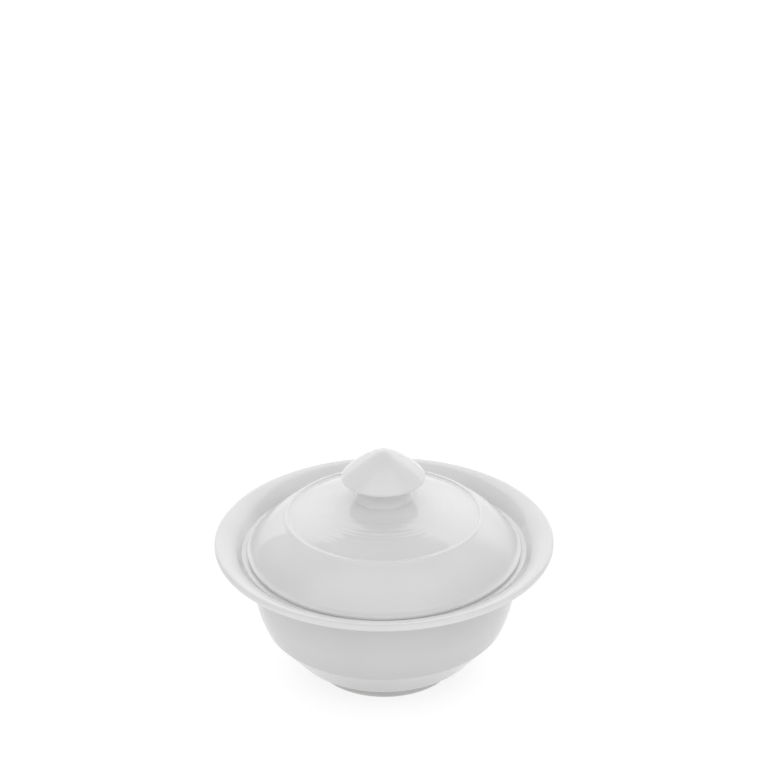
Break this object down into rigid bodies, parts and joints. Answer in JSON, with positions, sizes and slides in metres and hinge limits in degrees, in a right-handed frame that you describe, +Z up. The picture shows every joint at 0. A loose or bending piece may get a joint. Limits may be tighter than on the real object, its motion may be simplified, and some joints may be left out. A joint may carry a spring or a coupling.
{
  "type": "lidded porcelain bowl",
  "caption": "White glazed porcelain bowl with a flared rim, a recessed lid seat, a ring foot and a lift-off domed lid with a conical knob.",
  "frame": {"origin": "centre of the foot ring's bearing face, on the surface the bowl stands on", "axes": "+Z up along the axis that every piece is turned about; X and Y are free, because the object is round"},
  "size_m": [0.14, 0.14, 0.0991],
  "materials": {
    "glazed_porcelain": "clear gloss glaze over white porcelain",
    "bisque_porcelain": "bare fired porcelain, matt"
  },
  "bodies": {
    "bowl": {"bowl": "glazed_porcelain", "foot_ring": "bisque_porcelain"},
    "lid": {"lid": "glazed_porcelain", "knob": "glazed_porcelain"}
  },
  "joints": [
    {"name": "lid_lift", "type": "slide", "parent": "bowl", "child": "lid", "axis": [0, 0, 1], "range_m": [0, 0.1]}
  ]
}
